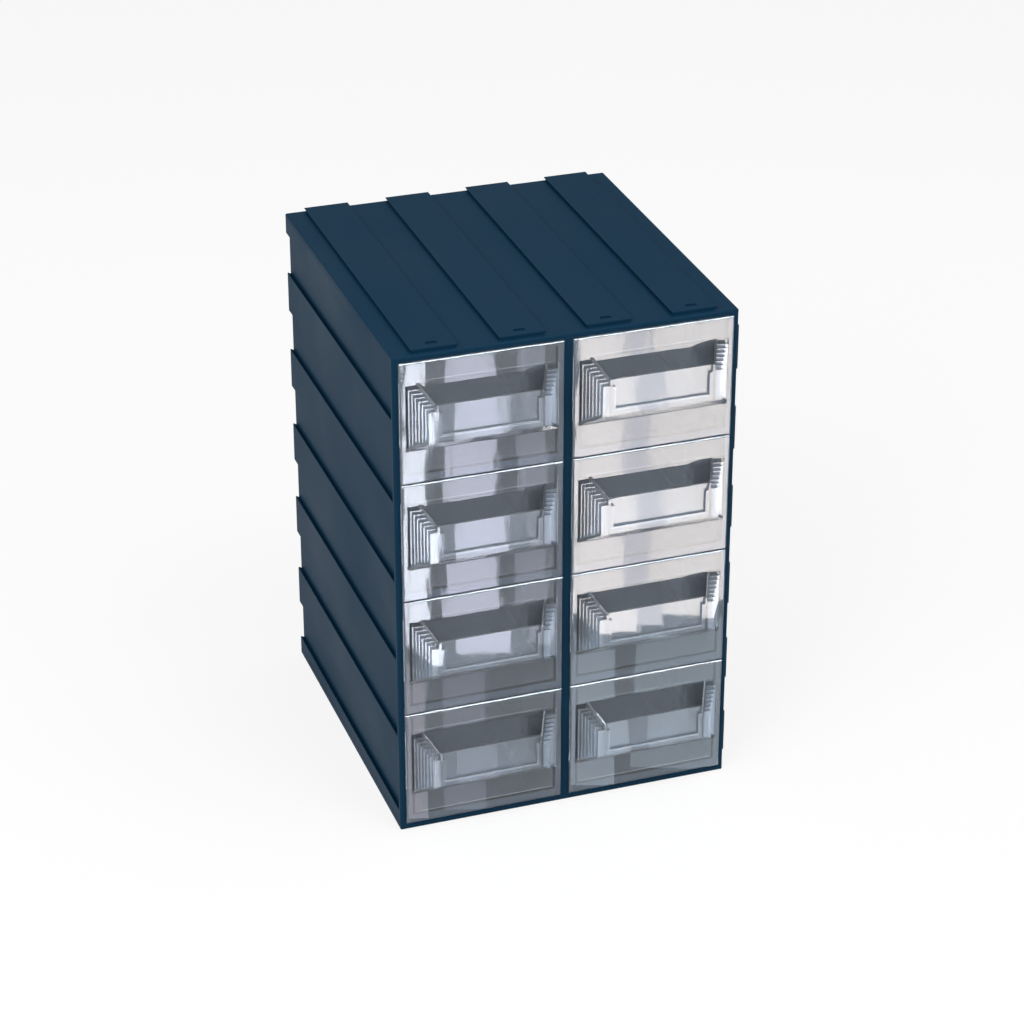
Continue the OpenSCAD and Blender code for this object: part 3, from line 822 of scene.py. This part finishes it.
class BINS_OT_drawers(bpy.types.Operator):
    """Makes the clear drawers, one for each of the cabinet's bays"""

    bl_idname = "bins.drawers"
    bl_label = "Make Drawers"

    def execute(self, context):
        settings = context.scene.bins_drawer
        moulded = moulded_drawer(settings, clear_plastic(settings))
        for name in DRAWERS:
            low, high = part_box(name)
            mesh = moulded.copy()
            mesh.transform(Matrix.Translation(((low.x + high.x) / 2, 0.0, low.z)))
            drawer = new_object(f"clear_{name}", mesh)
            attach(drawer, name)
            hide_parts(name)
        bpy.data.meshes.remove(moulded)
        return {"FINISHED"}


class BINS_OT_stage(bpy.types.Operator):
    """Sets the floor, lamps, surroundings and camera"""

    bl_idname = "bins.stage"
    bl_label = "Set Stage"

    def execute(self, context):
        s = context.scene.bins_stage
        scene = context.scene
        scene.view_settings.view_transform = "Standard"
        add_floor(s)
        scene.world = studio_world(s)

        aim = Vector(s.aim)
        look = look_direction(s)
        scene.camera = photo_camera(s, look)
        for name, power, (edge, place, tone) in (("key_lamp", s.key_power, KEY_LAMP),
                                                 ("fill_lamp", s.fill_power, FILL_LAMP)):
            area_lamp(name, power, (edge, edge), place, turned_to(aim - Vector(place)), tone)

        shiny = bpy.data.collections.new("clear_drawers")
        for piece in bpy.data.objects:
            if piece.name.startswith("clear_drawer"):
                shiny.objects.link(piece)
        behind = aim + BACK_DISTANCE * Vector((look.x, look.y, -look.z))
        for name, brightness, size, place in (("back_card", s.back, BACK_CARD, behind),
                                              ("glint_card", s.glint, GLINT_CARD, Vector(GLINT_PLACE))):
            mirrored_card(name, brightness, size, place, turned_to(aim - place), WHITE, shiny)
        _, face = front_planes(scene.bins_drawer)
        for number, pane in enumerate(PANES, 1):
            window_pane(f"window_pane_{number}", scene.camera.location, face, pane, s.window, shiny)
        return {"FINISHED"}


class BINS_PT_panel(bpy.types.Panel):
    """Makes the cabinet and shows its sizes and colours"""

    bl_idname = "BINS_PT_panel"
    bl_label = "Parts Bin Cabinet"
    bl_space_type = "VIEW_3D"
    bl_region_type = "UI"
    bl_category = "Parts Bins"

    def draw(self, context):
        for operator, group in (("bins.casing", "bins_casing"), ("bins.drawers", "bins_drawer"),
                                ("bins.stage", "bins_stage")):
            box = self.layout.box()
            box.operator(operator)
            settings = getattr(context.scene, group)
            for key in settings.bl_rna.properties.keys():
                if key not in ("rna_type", "name"):
                    box.prop(settings, key)


GROUPS = {
    "bins_casing": BinsCasingSettings,
    "bins_drawer": BinsDrawerSettings,
    "bins_stage": BinsStageSettings,
}
CLASSES = (*GROUPS.values(), BINS_OT_casing, BINS_OT_drawers, BINS_OT_stage, BINS_PT_panel)


def register():
    """Adds the settings, the operators and the panel to Blender."""
    for cls in CLASSES:
        bpy.utils.register_class(cls)
    for name, group in GROUPS.items():
        setattr(bpy.types.Scene, name, PointerProperty(type=group))


def unregister():
    """Takes them out again."""
    for name in GROUPS:
        delattr(bpy.types.Scene, name)
    for cls in reversed(CLASSES):
        bpy.utils.unregister_class(cls)


def main():
    """Makes the whole cabinet on its stage."""
    register()
    bpy.ops.bins.casing()
    bpy.ops.bins.drawers()
    bpy.ops.bins.stage()


if __name__ == "__main__":
    main()
